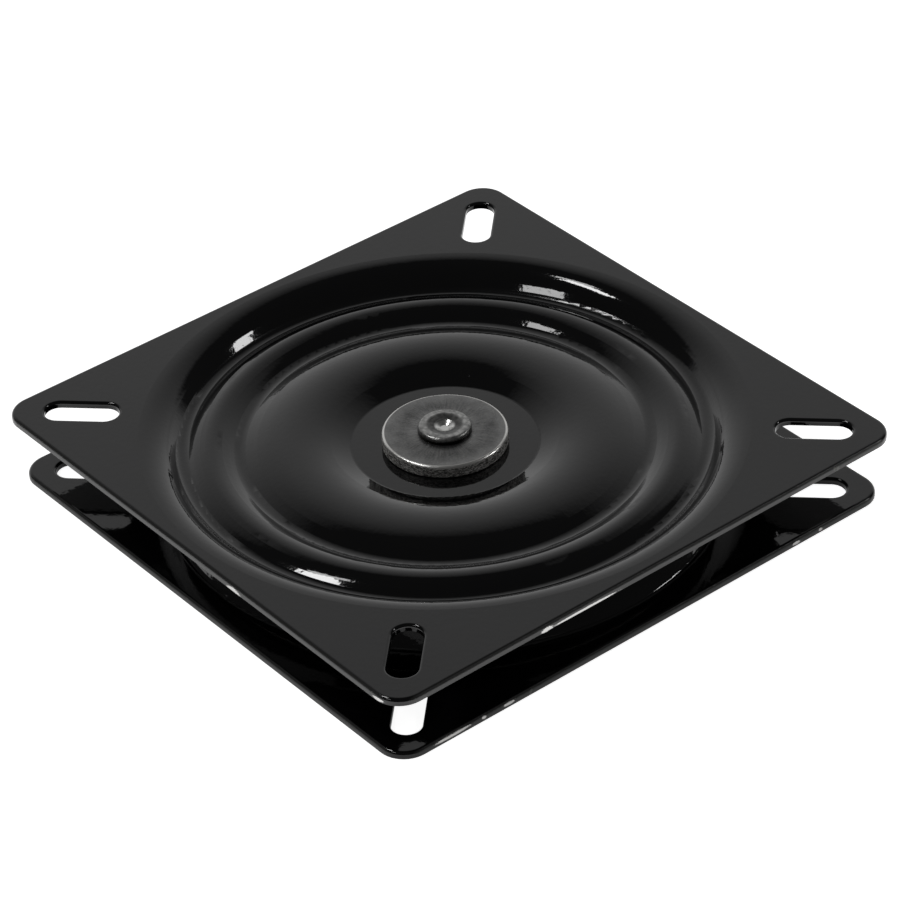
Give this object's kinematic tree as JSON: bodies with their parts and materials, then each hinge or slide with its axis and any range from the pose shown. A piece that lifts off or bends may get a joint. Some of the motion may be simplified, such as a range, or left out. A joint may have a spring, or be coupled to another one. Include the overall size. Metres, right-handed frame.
{
  "type": "boat seat swivel",
  "caption": "Square two-plate seat swivel: pressed black steel plates with ring-shaped ribs that turn on a ring of balls round a central rivet, with slotted corners.",
  "frame": {"origin": "on the swivel axis, in the plane of the lower flange's underside", "axes": "+Z along the swivel axis from the lower plate to the seat plate; X and Y parallel to the plates' edges at rest"},
  "size_m": [0.178, 0.178, 0.022],
  "materials": {
    "black_gloss_enamel": "smooth gloss black enamel on pressed steel sheet",
    "burnished_steel": "bare dark steel, turned and burnished, with bright rims",
    "ball_steel": "polished bearing balls",
    "cage_steel": "plain stamped steel cage"
  },
  "bodies": {
    "base": {"bottom_plate": "black_gloss_enamel", "rivet_washer": "burnished_steel", "centre_rivet": "burnished_steel"},
    "seat_side": {"top_plate": "black_gloss_enamel"},
    "ball_ring": {"ball_cage": "cage_steel", "ball_01": "ball_steel", "ball_02": "ball_steel", "ball_03": "ball_steel", "ball_04": "ball_steel", "ball_05": "ball_steel", "ball_06": "ball_steel", "ball_07": "ball_steel", "ball_08": "ball_steel", "ball_09": "ball_steel", "ball_10": "ball_steel", "ball_11": "ball_steel", "ball_12": "ball_steel", "ball_13": "ball_steel", "ball_14": "ball_steel", "ball_15": "ball_steel", "ball_16": "ball_steel", "ball_17": "ball_steel", "ball_18": "ball_steel", "ball_19": "ball_steel", "ball_20": "ball_steel", "ball_21": "ball_steel", "ball_22": "ball_steel", "ball_23": "ball_steel", "ball_24": "ball_steel"}
  },
  "joints": [
    {"name": "seat_swivel", "type": "hinge", "parent": "base", "child": "seat_side", "pos_m": [0, 0, 0.012], "axis": [0, 0, 1], "continuous": true},
    {"name": "ball_ring_roll", "type": "hinge", "parent": "base", "child": "ball_ring", "pos_m": [0, 0, 0.01319], "axis": [0, 0, 1], "continuous": true}
  ],
  "couplings": [
    {"joint": "ball_ring_roll", "follows": "seat_swivel", "ratio": 0.5}
  ]
}
